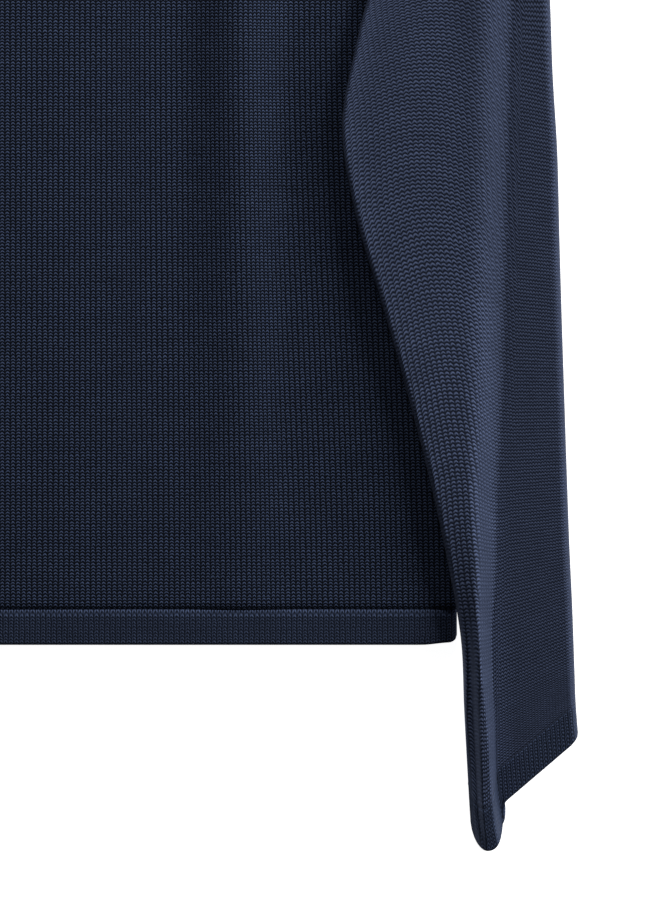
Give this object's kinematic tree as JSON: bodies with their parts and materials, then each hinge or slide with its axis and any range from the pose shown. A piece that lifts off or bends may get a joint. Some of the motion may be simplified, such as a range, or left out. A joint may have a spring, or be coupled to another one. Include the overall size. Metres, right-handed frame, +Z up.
{
  "type": "turtleneck sweater",
  "caption": "Dark knitted turtleneck sweater lying flat on its back, with long sleeves folded down beside the body, a folded collar, a hem band and slanted cuffs.",
  "frame": {"origin": "on the surface it lies on, under the middle of the back panel, 300 mm above the hem's bottom edge", "axes": "+Z up off the surface, +Y from the hem towards the collar, +X towards the wearer's left sleeve"},
  "size_m": [0.6168, 0.7666, 0.023],
  "materials": {
    "knit": "matt plain knit with a soft nap",
    "sleeve_knit": "matt plain knit with a soft nap",
    "band_knit": "matt fine knit"
  },
  "bodies": {
    "root": {"body_front": "knit", "body_back": "knit", "hem_band": "band_knit", "sleeve_left": "sleeve_knit", "sleeve_right": "sleeve_knit", "cuff_left": "band_knit", "cuff_right": "band_knit", "collar": "band_knit"}
  },
  "joints": []
}
